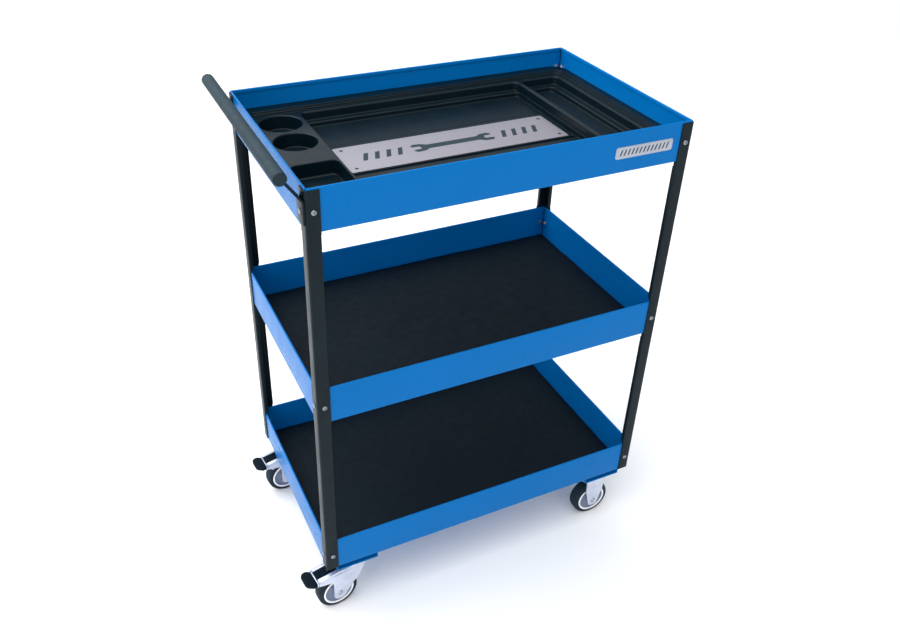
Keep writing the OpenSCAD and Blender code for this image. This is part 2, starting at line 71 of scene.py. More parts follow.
_low, _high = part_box("tray_top")
MID_X = (_low.x + _high.x) / 2
TRAY_LOW, TRAY_HIGH = box_mm("tray_top")
POST_LOW, POST_TOP = box_mm("post_front_left")
TRAYS = ["tray_top", "tray_middle", "tray_bottom"]
RIMS = [box_mm(name)[1].z for name in TRAYS]
RIM = RIMS[0]
HALF_L = TRAY_HIGH.x
HALF_D = TRAY_HIGH.y
WALL_H = TRAY_HIGH.z - TRAY_LOW.z
POST_X = -POST_LOW.x
POST_Y = -POST_LOW.y

# Sheet metal
SHEET_T = 1.2
BEND_R = 2.6
FLOOR_RUN = 8.0  # how far a wall's own sheet runs in over the floor
HEM_T = 3.0
HEM_H = 6.0
SLIT = 1.1
POST_T = 2.0
POST_W = 22.5
POST_R = 4.0
LIP_D = 8.0
LIP_R = 2.6

# Frame fasteners
SCREW_INSET = 12.5
SCREW_DROP = 36.0
SCREW_HEAD_R = 4.3
SCREW_HEAD_H = 2.5
SCREW_R = 2.5
NUT_R = 4.6
NUT_H = 4.0
BRACKET_T = 3.0
CHANNEL_T = 2.0

# Casters, each drawn about its own kingpin with the handle's end towards -X
JOINTS = {joint["name"]: joint for joint in frame["record"]["behaviour"]["joints"]}
WHEEL_Z = 40.0
TRAIL = 35.0
FORK_HALF = 18.5
FORK_T = 2.5
WEB_TOP = 98.0


# ---- placing ----

def turned(degrees, axis="Z"):
    return Matrix.Rotation(math.radians(degrees), 4, axis)


def moved(x, y, z):
    return Matrix.Translation((x, y, z))


# ---- outlines ----

def arc(cx, cy, radius, start, end, steps):
    """Points along an arc, angles in degrees."""
    return [
        (
            cx + radius * math.cos(math.radians(start + (end - start) * k / steps)),
            cy + radius * math.sin(math.radians(start + (end - start) * k / steps)),
        )
        for k in range(steps + 1)
    ]


def fillet(points, radii, steps=5):
    """Rounds the corners of a closed outline. radii is one number, or one for each corner."""
    count = len(points)
    if isinstance(radii, (int, float)):
        radii = [radii] * count
    out = []
    for k, radius in enumerate(radii):
        here = Vector(points[k])
        back = (Vector(points[k - 1]) - here).normalized()
        on = (Vector(points[(k + 1) % count]) - here).normalized()
        half = math.acos(max(-1.0, min(1.0, back.dot(on)))) / 2
        if radius <= 0 or half > math.radians(89):
            out.append(tuple(here))
            continue
        centre = here + (back + on).normalized() * (radius / math.sin(half))
        first = here + back * (radius / math.tan(half)) - centre
        last = here + on * (radius / math.tan(half)) - centre
        start = math.atan2(first.y, first.x)
        sweep = math.atan2(last.y, last.x) - start
        sweep = (sweep + math.pi) % (2 * math.pi) - math.pi
        for s in range(steps + 1):
            angle = start + sweep * s / steps
            out.append((centre.x + radius * math.cos(angle), centre.y + radius * math.sin(angle)))
    return out


def rounded_rect(x0, x1, y0, y1, radius, steps=6):
    """A rectangle's outline with rounded corners."""
    return fillet([(x0, y0), (x1, y0), (x1, y1), (x0, y1)], radius, steps)


def shrink(points, by):
    """Moves a closed anticlockwise outline inwards by a small distance."""
    out = []
    for k, point in enumerate(points):
        here = Vector(point)
        a = here - Vector(points[k - 1])
        b = Vector(points[(k + 1) % len(points)]) - here
        if a.length < 1e-6 or b.length < 1e-6:
            a = b = a if a.length > b.length else b
        a.normalize()
        b.normalize()
        inward = Vector((-a.y - b.y, a.x + b.x))
        if inward.length < 1e-6:
            inward = Vector((-a.y, a.x))
        inward.normalize()
        stretch = max(0.35, inward.dot(Vector((-a.y, a.x))))
        out.append(tuple(here + inward * (by / stretch)))
    return out


def anticlockwise(points):
    """The same outline, turned round if it runs clockwise."""
    area = sum(
        points[k - 1][0] * points[k][1] - points[k][0] * points[k - 1][1]
        for k in range(len(points))
    )
    return points if area > 0 else points[::-1]


# ---- solids ----

def ring(bm, points):
    """New vertices at the points."""
    return [bm.verts.new(p) for p in points]


def bridge(bm, first, second):
    """Faces between two closed rings that have the same number of vertices."""
    count = len(first)
    for k in range(count):
        n = (k + 1) % count
        bm.faces.new((first[k], first[n], second[n], second[k]))


def loft(bm, rings, ends=True):
    """Joins closed rings of points, one after another, and closes both ends."""
    made = [ring(bm, points) for points in rings]
    for a, b in zip(made, made[1:]):
        bridge(bm, a, b)
    if ends:
        bm.faces.new(made[0][::-1])
        bm.faces.new(made[-1])
    return made


def prism(bm, outline, low, high, matrix=Matrix(), edge=0.3, steps=2):
    """A plate with rounded edges: the outline in X and Y, from low to high along Z."""
    flat = 0.25  # width of the ring inside each rounded edge, which keeps its shading flat
    outline = anticlockwise(outline)
    half = []
    for s in range(steps + 1):
        angle = math.pi / 2 * s / steps
        half.append((edge * (1 - math.sin(angle)), edge * (1 - math.cos(angle))))
    levels = [(edge + flat, low)] + [(inset, low + rise) for inset, rise in half]
    levels += [(inset, high - rise) for inset, rise in half[::-1]] + [(edge + flat, high)]
    loft(bm, [
        [matrix @ Vector((x, y, z)) for x, y in shrink(outline, inset)] for inset, z in levels
    ])


def revolve(bm, profile, matrix=Matrix(), segments=64):
    """Turns a closed outline of (radius, height) points about Z."""
    rings = []
    for k in range(segments):
        angle = 2 * math.pi * k / segments
        cos, sin = math.cos(angle), math.sin(angle)
        rings.append(ring(bm, [matrix @ Vector((r * cos, r * sin, h)) for r, h in profile]))
    for k in range(segments):
        bridge(bm, rings[k], rings[(k + 1) % segments])


def block(bm, low, high, edge=0.3):
    """A box with rounded edges, from its lowest to its highest corner."""
    outline = [(low[0], low[1]), (high[0], low[1]), (high[0], high[1]), (low[0], high[1])]
    prism(bm, outline, low[2], high[2], edge=edge)


def sharpen(bm, limit):
    """Smooth shading, with a hard edge where two faces meet at more than the limit."""
    for e in bm.edges:
        e.smooth = len(e.link_faces) != 2 or e.calc_face_angle(0) < limit
    for f in bm.faces:
        f.smooth = True


def add_object(name, data):
    """A new object for some data, in the scene."""
    made = bpy.data.objects.new(name, data)
    bpy.context.scene.collection.objects.link(made)
    return made


def mesh_object(name, bm):
    """A new object from a drawing, which is used up."""
    mesh = bpy.data.meshes.new(name)
    bm.to_mesh(mesh)
    bm.free()
    return add_object(name, mesh)


def finish(name, bm, material, slot, body, nodes=(), limit=40):
    """Turns a drawn shape into a piece that rides on a CAD body and may stand for CAD nodes."""
    bmesh.ops.remove_doubles(bm, verts=bm.verts, dist=MERGE)
    bmesh.ops.recalc_face_normals(bm, faces=bm.faces)
    sharpen(bm, math.radians(limit))
    bm.transform(moved(MID_X, 0, 0) @ Matrix.Scale(MM, 4))
    made = mesh_object(name, bm)
    made.data.materials.append(material)
    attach(made, body)
    if nodes:
        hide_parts(*nodes)
    return made


# ---- materials ----

def srgb(code):
    """A linear colour from a web colour code."""
    values = [int(code[k:k + 2], 16) / 255 for k in (1, 3, 5)]
    return [v / 12.92 if v <= 0.04045 else ((v + 0.055) / 1.055) ** 2.4 for v in values] + [1]


class Nodes:
    """A short way to write a material's node tree."""

    def __init__(self, name):
        self.material = bpy.data.materials.new(name)
        self.material.use_nodes = True
        self.tree = self.material.node_tree
        self.bsdf = self.tree.nodes["Principled BSDF"]
        self.place = self.add("ShaderNodeTexCoord").outputs["Object"]

    def put(self, value, socket):
        """Links another node's output to a socket, or sets the socket to a plain value."""
        if hasattr(value, "links"):
            self.tree.links.new(value, socket)
        else:
            socket.default_value = value

    def add(self, kind, inputs=(), **settings):
        node = self.tree.nodes.new(kind)
        for key, value in settings.items():
            setattr(node, key, value)
        for key, value in dict(inputs).items():
            self.put(value, node.inputs[key])
        return node

    def scaled(self, scale):
        """The piece's own coordinates, stretched by a scale along each axis."""
        inputs = {"Vector": self.place, "Scale": scale}
        return self.add("ShaderNodeMapping", inputs).outputs["Vector"]

    def noise(self, scale, detail=3.0, rough=0.5, place=None):
        inputs = {
            "Vector": place or self.place, "Scale": scale, "Detail": detail, "Roughness": rough
        }
        return self.add("ShaderNodeTexNoise", inputs).outputs["Fac"]

    def remap(self, value, low, high, start=0.3, end=0.7):
        """Spreads a noise's middle range, start to end, over low to high."""
        inputs = {
            "Value": value, "From Min": start, "From Max": end, "To Min": low, "To Max": high
        }
        return self.add("ShaderNodeMapRange", inputs).outputs["Result"]

    def blend(self, factor, first, second):
        """A mix of two colours. Sockets 6, 7 and 2 are the node's colour A, B and result."""
        inputs = {"Factor": factor, 6: first, 7: second}
        return self.add("ShaderNodeMix", inputs, data_type="RGBA").outputs[2]

    def bump(self, height, distance, strength=1.0):
        inputs = {"Height": height, "Distance": distance, "Strength": strength}
        return self.add("ShaderNodeBump", inputs).outputs["Normal"]

    def set(self, **values):
        for key, value in values.items():
            self.put(value, self.bsdf.inputs[key.replace("_", " ")])
        return self.material


def powder_coat(name, colour, deep, rough, ior, peel, grain=0.0):
    """Powder coat: orange peel, faint colour drift and a few fine specks."""
    n = Nodes(name)
    base = n.blend(n.remap(n.noise(7, 2), 0, 1), srgb(colour), srgb(deep))
    speck = n.remap(n.noise(900, 2), 0, grain, 0.55, 0.75)
    base = n.blend(speck, base, (1, 1, 1, 1))
    gloss = n.remap(n.noise(24, 4, 0.6), rough - 0.04, rough + 0.05)
    skin = n.bump(n.noise(260, 2, 0.4), 0.00003 * peel)
    return n.set(Base_Color=base, Roughness=gloss, IOR=ior, Normal=skin)


def zinc(name, colour, shade, rough):
    """Bright zinc plate: cloudy, with faint passivation tints and rolled grain."""
    n = Nodes(name)
    cloud = n.remap(n.noise(45, 4, 0.6), 0, 1)
    base = n.blend(cloud, srgb(colour), srgb(shade))
    grain = n.noise(300, 3, 0.5, n.scaled((1, 1, 0.15)))
    gloss = n.remap(grain, rough - 0.06, rough + 0.1)
    skin = n.bump(n.noise(700, 3), 0.00001)
    return n.set(Base_Color=base, Metallic=1.0, Roughness=gloss, Normal=skin)


def formed_plastic(name, colour, light, rough, ior):
    """Vacuum-formed ABS: a fine haircell grain under a soft satin shine."""
    n = Nodes(name)
    base = n.blend(n.remap(n.noise(14, 3), 0, 1), srgb(colour), srgb(light))
    inputs = {"Vector": n.place, "Scale": 900}
    cells = n.add("ShaderNodeTexVoronoi", inputs, feature="DISTANCE_TO_EDGE")
    grain = n.bump(cells.outputs["Distance"], 0.00002, 0.5)
    gloss = n.remap(n.noise(30, 4, 0.6), rough - 0.05, rough + 0.06)
    return n.set(Base_Color=base, Roughness=gloss, IOR=ior, Normal=grain)


def rubber(name, colour, light, dust, rough, scale=1100, depth=0.00008):
    """Rubber: a fine pebbled surface with dusty lighter specks."""
    n = Nodes(name)
    specks = n.remap(n.noise(600, 3, 0.7), 0, 0.35, 0.52, 0.72)
    worn = n.remap(n.noise(9, 3), 0, 0.5)
    base = n.blend(specks, n.blend(worn, srgb(colour), srgb(light)), srgb(dust))
    pebbles = n.bump(n.noise(scale, 4, 0.6), depth)
    gloss = n.remap(n.noise(60, 3), rough - 0.06, rough + 0.08)
    return n.set(Base_Color=base, Roughness=gloss, IOR=1.24, Normal=pebbles)


def brushed_plate(name):
    """Satin aluminium, brushed along the cart."""
    n = Nodes(name)
    lines = n.noise(1, 4, 0.6, n.scaled((12, 2600, 2600)))
    base = n.blend(n.remap(lines, 0, 1), srgb("#b6b3bd"), srgb("#a09da8"))
    gloss = n.remap(lines, 0.34, 0.5)
    return n.set(Base_Color=base, Metallic=0.9, Roughness=gloss, Normal=n.bump(lines, 0.00001))


def plastic(name, colour, light, rough, ior=1.35):
    """Moulded plastic: faint flow marks and a fine matt texture."""
    n = Nodes(name)
    flow = n.remap(n.noise(35, 4, 0.55, n.scaled((1, 0.5, 2))), 0, 1)
    base = n.blend(flow, srgb(colour), srgb(light))
    gloss = n.remap(n.noise(90, 3), rough - 0.05, rough + 0.07)
    pits = n.bump(n.noise(1300, 3), 0.00002)
    return n.set(Base_Color=base, Roughness=gloss, IOR=ior, Normal=pits)


def make_materials():
    """Every material, by the record's slot. Two slots here share the record's zinc."""
    charcoal = ("#07181f", "#05141b", 0.4, 1.23, 1.2, 0.015)
    return {
        "blue_paint": powder_coat("blue_powder_coat", "#0065aa", "#0063a6", 0.3, 1.17, 0.4),
        "charcoal_paint": powder_coat("charcoal_powder_coat", *charcoal),
        "moulded_black": formed_plastic("formed_black_plastic", "#011017", "#03141c", 0.36, 1.26),
        "plate_steel": brushed_plate("brushed_plate"),
        "dark_rivet": plastic("dark_print", "#16272e", "#1c2e35", 0.5),
        "badge_silver": zinc("badge_silver", "#b9bcc6", "#a9aeba", 0.35),
        "mat_rubber": rubber("mat_rubber", "#041119", "#07161f", "#1a2830", 0.62),
        "grip_grey": rubber("grip_grey", "#1f2f37", "#1b2a32", "#2c3c44", 0.6, 1500, 0.00004),
        "cap_grey": plastic("cap_grey", "#12242b", "#162a32", 0.55, 1.3),
        "zinc": zinc("zinc_plate", "#d3d8e4", "#bfc6d8", 0.36),
        "axle_zinc": zinc("axle_zinc", "#b4b8c4", "#a2a8b8", 0.25),
        # The frame screws get the zinc painted darker than the nuts' zinc: painted shade standing
        # in for dim reflections on their heads.
        "screw_zinc_painted_dark": zinc("screw_zinc_painted_dark", "#8d9297", "#767c84", 0.22),
        "ball_steel": zinc("polished_steel", "#dcdee3", "#d0d4dc", 0.12),
        "pedal_black": plastic("pedal_black", "#000e19", "#011420", 0.45, 1.18),
        "tyre_rubber": rubber(
            "tyre_rubber", "#12222b", "#1c2d36", "#32434c", 0.6, 1400, 0.00005
        ),
        "core_white": plastic("core_white", "#f6f4f8", "#ebe9f0", 0.4, 1.45),
        "guard_grey": plastic("guard_grey", "#69758a", "#606c82", 0.45),
    }


MAT = make_materials()
RECORD_SLOT = {"axle_zinc": "zinc", "screw_zinc_painted_dark": "zinc"}


def piece(name, bm, slot, node=None, body="root", **options):
    """Finishes a shape that stands for one CAD node, or for none and rides on a body."""
    nodes = [node] if node else []
    if node:
        body = NODE_BODY[node]
    return finish(name, bm, MAT[slot], RECORD_SLOT.get(slot, slot), body, nodes, **options)


# ---- trays ----

def wall_outline():
    """A tray wall's section: X is the depth from its outside, Y the height over the bottom."""
    points = [(FLOOR_RUN, 0)] + arc(BEND_R, BEND_R, BEND_R, 270, 180, 8)
    points += arc(HEM_T / 2, WALL_H - HEM_T / 2, HEM_T / 2, 180, 0, 12)
    low = WALL_H - HEM_H
    points += [(HEM_T, low + 0.4), (HEM_T - 0.4, low), (SHEET_T + 0.3, low), (SHEET_T, low + 0.3)]
    points += [(SHEET_T, low - 0.6)]
    points += arc(BEND_R, BEND_R, BEND_R - SHEET_T, 180, 270, 8) + [(FLOOR_RUN, SHEET_T)]
    return points


def tray(name, node, rim):
    """Four folded walls with open corner slits, and the floor between them."""
    bm = bmesh.new()
    base = rim - WALL_H
    outline = wall_outline()
    for turn in (0, 90, 180, 270):
        length, reach = (HALF_D, HALF_L) if turn % 180 else (HALF_L, HALF_D)
        rings = []
        for side, inner in ((-1, 0), (-1, 4), (1, 4), (1, 0)):
            ends = []
            for depth, height in outline:
                end = length - SLIT - min(depth, HEM_T) - inner
                ends.append(Vector((side * end, -reach + depth, base + height)))
            rings.append([turned(turn) @ p for p in ends])
        loft(bm, rings)
    half_x, half_y = HALF_L - FLOOR_RUN, HALF_D - FLOOR_RUN
    block(bm, (-half_x, -half_y, base), (half_x, half_y, base + SHEET_T), 0.01)
    piece(name, bm, "blue_paint", node)


for tray_name, tray_node, tray_rim in zip(("top_tray", "middle_tray", "bottom_tray"), TRAYS, RIMS):
    tray(tray_name, tray_node, tray_rim)


# ---- posts ----

def post_section(depth, radius):
    """The lipped angle's section, its outside corner at the origin."""
    inside = min(max(radius - POST_T, 0.05), max(depth - POST_T, 0.01))
    flange = [(POST_R, 0)] + arc(POST_W - radius, radius, radius, 270, 360, 5)
    flange += [(POST_W, depth), (POST_W - POST_T, depth)]
    flange += arc(POST_W - POST_T - inside, POST_T + inside, inside, 360, 270, 4)
    flange += [(POST_R, POST_T)]
    corner_in = arc(POST_R, POST_R, POST_R - POST_T, 270, 180, 6)[1:-1]
    corner_out = arc(POST_R, POST_R, POST_R, 180, 270, 8)[1:-1]
    other = [(y, x) for x, y in flange[::-1]]
    return flange + corner_in + other + corner_out


def post_stations(foot, top):
    """Heights along the post, each with its lip's depth and bend radius."""
    plain = (POST_T, 0.4)
    full = (LIP_D, LIP_R)
    out = [(foot, plain)]
    for k in (1, 0):
        low = RIMS[k + 1] + 2
        high = RIMS[k] - WALL_H - 2
        out += [(low, plain), (low + 1, (POST_T + 1, LIP_R)), (low + LIP_D, full)]
        out += [(high - LIP_D, full), (high - 1, (POST_T + 1, LIP_R)), (high, plain)]
    return out + [(top, plain)]


def bevel(made, width):
    """Softens a piece's sharp edges by a width in millimetres."""
    mod = made.modifiers.new("soft_edges", "BEVEL")
    mod.width = width * MM
    mod.segments = 2
    mod.limit_method = "ANGLE"
    mod.angle_limit = math.radians(40)


def post(name, node, flip_x, flip_y):
    """One corner post, drawn at the front left and mirrored to its own corner."""
    bm = bmesh.new()
    loft(bm, [
        [Vector((x - POST_X, y - POST_Y, z)) for x, y in post_section(depth, radius)]
        for z, (depth, radius) in post_stations(POST_LOW.z, POST_TOP.z)
    ])
    bm.transform(Matrix.Diagonal((flip_x, flip_y, 1, 1)))
    bevel(piece(name, bm, "charcoal_paint", node), 0.35)


for end, flip_x in (("left", 1), ("right", -1)):
    for side, flip_y in (("front", 1), ("back", -1)):
        post(f"{side}_{end}_post", f"post_{side}_{end}", flip_x, flip_y)


# ---- organiser ----

CORNER_STEPS = 8
EVEN = (1, 1, 1, 1)


def pocket_ring(rect, radius, grow, factors, z):
    """A rectangle's outline grown by a distance, each side by its own share of it."""
    x0, x1, y0, y1 = rect
    left, right, front, back = (grow * f for f in factors)
    corners = [
        (x1 - radius, y1 - radius, radius + right, radius + back, 0),
        (x0 + radius, y1 - radius, radius + left, radius + back, 90),
        (x0 + radius, y0 + radius, radius + left, radius + front, 180),
        (x1 - radius, y0 + radius, radius + right, radius + front, 270),
    ]
    points = []
    for cx, cy, rx, ry, start in corners:
        for k in range(CORNER_STEPS + 1):
            angle = math.radians(start + 90 * k / CORNER_STEPS)
            points.append(Vector((cx + rx * math.cos(angle), cy + ry * math.sin(angle), z)))
    return points


def round_ring(centre, radius, grow, z):
    """A circle's outline grown by a distance."""
    circle = arc(centre[0], centre[1], radius + grow, 0, 360, 72)
    return [Vector((x, y, z)) for x, y in circle[:-1]]


def pocket_steps(top, bottom, top_r, bottom_r, draft):
    """The wall from one level down to the next: (growth, height, True in the upper half)."""
    rim = 0.3
    steps = [(top_r + rim, top, True)]
    for k in range(6):
        angle = math.pi / 2 * k / 5
        steps.append((top_r * (1 - math.sin(angle)), top - top_r * (1 - math.cos(angle)), True))
    for k in range(6):
        angle = math.pi / 2 * k / 5
        grow = -draft - bottom_r * (1 - math.cos(angle))
        steps.append((grow, bottom + bottom_r * (1 - math.sin(angle)), False))
    steps.append((-draft - bottom_r - rim, bottom, False))
    return steps


def fill(bm, rings):
    """A flat face inside the first ring, with the other rings as its holes."""
    edges = []
    for verts in rings:
        for k in range(len(verts)):
            pair = (verts[k - 1], verts[k])
            edges.append(bm.edges.get(pair) or bm.edges.new(pair))
    bmesh.ops.triangle_fill(bm, edges=edges, use_beauty=True, normal=(0, 0, 1))


def pocket(bm, shape, top, bottom, top_r, bottom_r, draft, upper=EVEN, lower=EVEN):
    """Draws a pocket's wall and returns its upper and lower edge.

    The shape is (centre, radius), or (x0, x1, y0, y1, corner radius).
    """
    rings = []
    for grow, z, high in pocket_steps(top, bottom, top_r, bottom_r, draft):
        if len(shape) == 2:
            points = round_ring(shape[0], shape[1], grow, z)
        else:
            points = pocket_ring(shape[:4], shape[4], grow, upper if high else lower, z)
        rings.append(ring(bm, points))
    for a, b in zip(rings, rings[1:]):
        bridge(bm, a, b)
    return rings[0], rings[-1]


# Heights of the organiser's levels, from its border down
BORDER = RIM - 35
LEDGE = RIM - 38.2
TREAD = RIM - 41.5
SHELF = RIM - 57
FLOOR = RIM - 65
CUP_FLOOR = RIM - 66
PAD_Z = box_mm("name_plate")[0].z
MOULD_T = 2.2
MOULD_GAP = 0.8

# Its pockets as x0, x1, y0, y1 and corner radius
LEDGE_RECT = (-306, 308, -173, 173, 12)
TREAD_RECT = (-304.2, 302, -170, 170, 11)
WIDE_RECT = (-217.5, 206, -160, 160, 9)
WIDE_FLOOR = (-216, 203.6, -147, 147, 8)
LONG_RECT = (216, 294, -160, 160, 9)
LONG_FLOOR = (218.6, 280, -147, 147, 8)
BIN_RECT = (-298.6, -222, -165, -37, 12)
CANS = [((-261, y), 35) for y in (128, 48)]

# Raised strips on the wide floor as y0, y1, top and right-hand end
STRIP_LEFT = -213.5
STRIPS = ((-56, 54, PAD_Z, 200.5), (56, 99, FLOOR + 1.4, 194))


def organiser():
    """The moulded tray insert, level by level: each pocket() gives (upper edge, lower edge)."""
    bm = bmesh.new()
    half_x = HALF_L - SHEET_T - MOULD_GAP
    half_y = HALF_D - SHEET_T - MOULD_GAP
    outline = (-half_x, half_x, -half_y, half_y)
    outer = ring(bm, pocket_ring(outline, 30, 0, EVEN, BORDER))
    skirt = ring(bm, pocket_ring(outline, 30, 0, EVEN, BORDER - MOULD_T))
    bridge(bm, outer, skirt)
    ledge = pocket(bm, LEDGE_RECT, BORDER, LEDGE, 1.3, 0.9, 0.2)
    tread = pocket(bm, TREAD_RECT, LEDGE, TREAD, 1.2, 0.9, 0.2)
    wide = pocket(bm, WIDE_RECT, TREAD, SHELF, 3.6, 2.2, 0.6, (0.5, 1, 1, 1), (0.1, 0.2, 1, 1))
    long = pocket(bm, LONG_RECT, TREAD, SHELF, 3.6, 2.2, 0.6, EVEN, (0.2, 1, 1, 1))
    cans = [pocket(bm, can, TREAD, CUP_FLOOR, 2.6, 2.5, 0.7) for can in CANS]
    small_bin = pocket(bm, BIN_RECT, TREAD, CUP_FLOOR, 1.8, 4, 0.8)
    deep = pocket(bm, WIDE_FLOOR, SHELF, FLOOR, 2.4, 2, 0.4, (0.1, 0.2, 1, 1), (0.3, 0.5, 1, 1))
    slot = pocket(bm, LONG_FLOOR, SHELF, FLOOR, 2.4, 2, 0.4, (0.2, 1, 1, 1), (0.5, 1, 1, 1))
    fill(bm, [outer, ledge[0]])
    fill(bm, [ledge[1], tread[0]])
    fill(bm, [tread[1], wide[0], long[0], small_bin[0]] + [can[0] for can in cans])
    fill(bm, [wide[1], deep[0]])
    fill(bm, [long[1], slot[0]])
    for hollow in [deep, slot, small_bin] + cans:
        fill(bm, [hollow[1]])
    for y0, y1, top, end in STRIPS:
        outline = rounded_rect(STRIP_LEFT, end, y0, y1, 1.5, 3)
        prism(bm, outline, FLOOR - 0.5, top, edge=0.35, steps=3)
    piece("organiser", bm, "moulded_black", "tray_insert", limit=50)


organiser()


# ---- mats ----

def mat(name, node, seed):
    """A cut rubber mat: flat in the middle, its edges lifting a little where it was rolled."""
    low, high = box_mm(node)
    step = 6.0  # size of the mesh's squares
    nx = int((high.x - low.x) / step)
    ny = int((high.y - low.y) / step)
    lift = 1.6  # most that an edge can rise
    reach = 34.0  # how far in from the edge the waves go
    bm = bmesh.new()
    rows = []
    for j in range(ny + 1):
        row = []
        y = low.y + (high.y - low.y) * j / ny
        for i in range(nx + 1):
            x = low.x + (high.x - low.x) * i / nx
            edge = min(x - low.x, high.x - x, y - low.y, high.y - y)
            near = max(0.0, 1 - edge / reach)
            wave = noise.noise(Vector((x / 75, y / 75, seed)))
            rise = lift * max(0.0, wave) * near ** 2
            creep = 0.8 * noise.noise(Vector((x / 40, y / 40, seed + 9))) * near
            row.append(bm.verts.new((x + creep * 0.5, y + creep * 0.5, high.z + rise)))
        rows.append(row)
    for j in range(ny):
        for i in range(nx):
            bm.faces.new((rows[j][i], rows[j][i + 1], rows[j + 1][i + 1], rows[j + 1][i]))
    made = piece(name, bm, "mat_rubber", node)
    thick = made.modifiers.new("thickness", "SOLIDIFY")
    thick.thickness = (high.z - low.z) * MM
    thick.offset = -1
    bevel(made, 0.5)


mat("middle_mat", "mat_middle", 3)
mat("bottom_mat", "mat_bottom", 8)


# ---- name plate and badge ----

def spanner(length, width, jaw):
    """Outline of a plain double-ended open spanner, centred on the origin and lying along X."""
    half = length / 2
    upper = [
        (half - jaw * 1.7, width / 2), (half - jaw * 1.15, jaw * 0.78),
        (half - jaw * 0.35, jaw * 0.86), (half, jaw * 0.5), (half - jaw * 0.25, jaw * 0.3),
        (half - jaw * 0.85, jaw * 0.3), (half - jaw * 1.0, 0.0),
    ]
    right = upper + [(x, -y) for x, y in upper[-2::-1]]
    return right + [(-x, -y) for x, y in right]


def name_plate():
    """The brushed plate, its dark generic print and its four rivets."""
    low, high = box_mm("name_plate")
    bm = bmesh.new()
    prism(bm, rounded_rect(low.x, high.x, low.y, high.y, 2.5), low.z, high.z, edge=0.25)
    piece("name_plate_sheet", bm, "plate_steel", "name_plate")

    mid = (low + high) / 2
    top = high.z
    print_low, print_high = top - 0.05, top + 0.12
    bm = bmesh.new()
    prism(bm, spanner(150, 15, 17), print_low, print_high, moved(mid.x, mid.y, 0), 0.04)
    lean, bar_half_w, bar_half_h = 5, 4, 13
    for side in (-1, 1):
        for k in range(4):
            x = mid.x + side * (96 + 20 * k)
            bar = [
                (x + sx * bar_half_w + sy * lean, mid.y + sy * bar_half_h)
                for sx, sy in ((-1, -1), (1, -1), (1, 1), (-1, 1))
            ]
            prism(bm, bar, print_low, print_high, edge=0.04)
    piece("name_plate_print", bm, "dark_rivet", body=NODE_BODY["name_plate"])

    bm = bmesh.new()
    inset = 12
    head = [(0, -0.8), (2, -0.8), (2, 0), (3.2, 0)] + arc(0, -6.3, 7.05, 63, 90, 5)
    for sx, sy in CORNERS:
        x = mid.x + sx * ((high.x - low.x) / 2 - inset)
        y = mid.y + sy * ((high.y - low.y) / 2 - inset)
        revolve(bm, head, moved(x, y, top), 24)
    piece("name_plate_rivet_heads", bm, "dark_rivet", "name_plate_rivets")


def badge():
    """A plain badge on the front wall with a row of slanted bars."""
    low, high = box_mm("front_badge")
    bm = bmesh.new()
    turn = Matrix(((1, 0, 0, 0), (0, 0, 1, 0), (0, 1, 0, 0), (0, 0, 0, 1)))
    plate = rounded_rect(low.x, high.x, low.z, high.z, 4)
    prism(bm, plate, low.y + 0.3, high.y, turn, edge=0.2)
    rim = rounded_rect(low.x + 2.2, high.x - 2.2, low.z + 2.2, high.z - 2.2, 2.6)
    prism(bm, rim, low.y + 0.1, (low.y + high.y) / 2, turn, edge=0.25)
    piece("badge", bm, "badge_silver", "front_badge")

    bm = bmesh.new()
    mid_x, mid_z = (low.x + high.x) / 2, (low.z + high.z) / 2
    pitch, rise = 7.4, 5
    for k in range(-6, 7):
        x = mid_x + k * pitch
        bar = [
            (x - 3.0, mid_z - rise), (x - 0.4, mid_z - rise), (x + 3.0, mid_z + rise),
            (x + 0.4, mid_z + rise),
        ]
        prism(bm, bar, low.y, low.y + 0.2, turn, edge=0.05)
    piece("badge_bars", bm, "dark_rivet", body=NODE_BODY["front_badge"])


name_plate()
badge()


# ---- handle ----

def handle():
    """The grip tube and its two end caps."""
    low, high = box_mm("handle_bar")
    middle = moved((low.x + high.x) / 2, 0, (low.z + high.z) / 2)
    radius = (high.x - low.x) / 2 - 0.05  # inside the CAD tube's flat facets
    half = (high.y - low.y) / 2
    soft = 0.6
    bm = bmesh.new()
    outline = [(radius - 1.5, -half), (radius - soft, -half)]
    outline += arc(radius - soft, -half + soft, soft, 270, 360, 4)
    outline += [(radius, -half + 2), (radius, half - 2)]
    outline += arc(radius - soft, half - soft, soft, 0, 90, 4) + [(radius - 1.5, half)]
    revolve(bm, outline, middle @ turned(90, "X"), 72)
    piece("handle_bar_tube", bm, "grip_grey", "handle_bar")

    bm = bmesh.new()
    cap_t = box_mm("handle_end_caps")[1].y - half
    face = radius - 1.1
    outline = [(0, -12), (radius - 2, -12), (radius - 2, 0), (radius - 0.2, 0)]
    outline += [(radius - 0.2, 0.3)] + arc(face, cap_t - 1.0, 1.0, 0, 90, 5)
    outline += [(face - 1.2, cap_t), (0, cap_t)]
    for turn in (90, -90):
        revolve(bm, outline, middle @ turned(turn, "X") @ moved(0, 0, half))
    piece("handle_bar_caps", bm, "cap_grey", "handle_end_caps")


def strip_path(low_z, bend, target, bend_r, stop):
    """Middle line of the bracket in X and Z: up, round a bend, then straight to the bar."""
    run = (Vector(target) - Vector(bend)).normalized()
    far = Vector(target) - run * stop
    start = Vector((bend[0], low_z))
    up = Vector((0, 1))
    half = math.acos(max(-1, min(1, up.dot(run)))) / 2
    trim = bend_r * math.tan(half)
    first = Vector(bend) - up * trim
    side = -1 if run.x < 0 else 1
    centre = first + Vector((side * bend_r, 0))
    begin = math.pi if side > 0 else 0
    turn = -2 * half * side
    points = [start, start + up * 1]
    for k in range(9):
        angle = begin + turn * k / 8
        points.append(centre + Vector((math.cos(angle), math.sin(angle))) * bend_r)
    return points + [far]


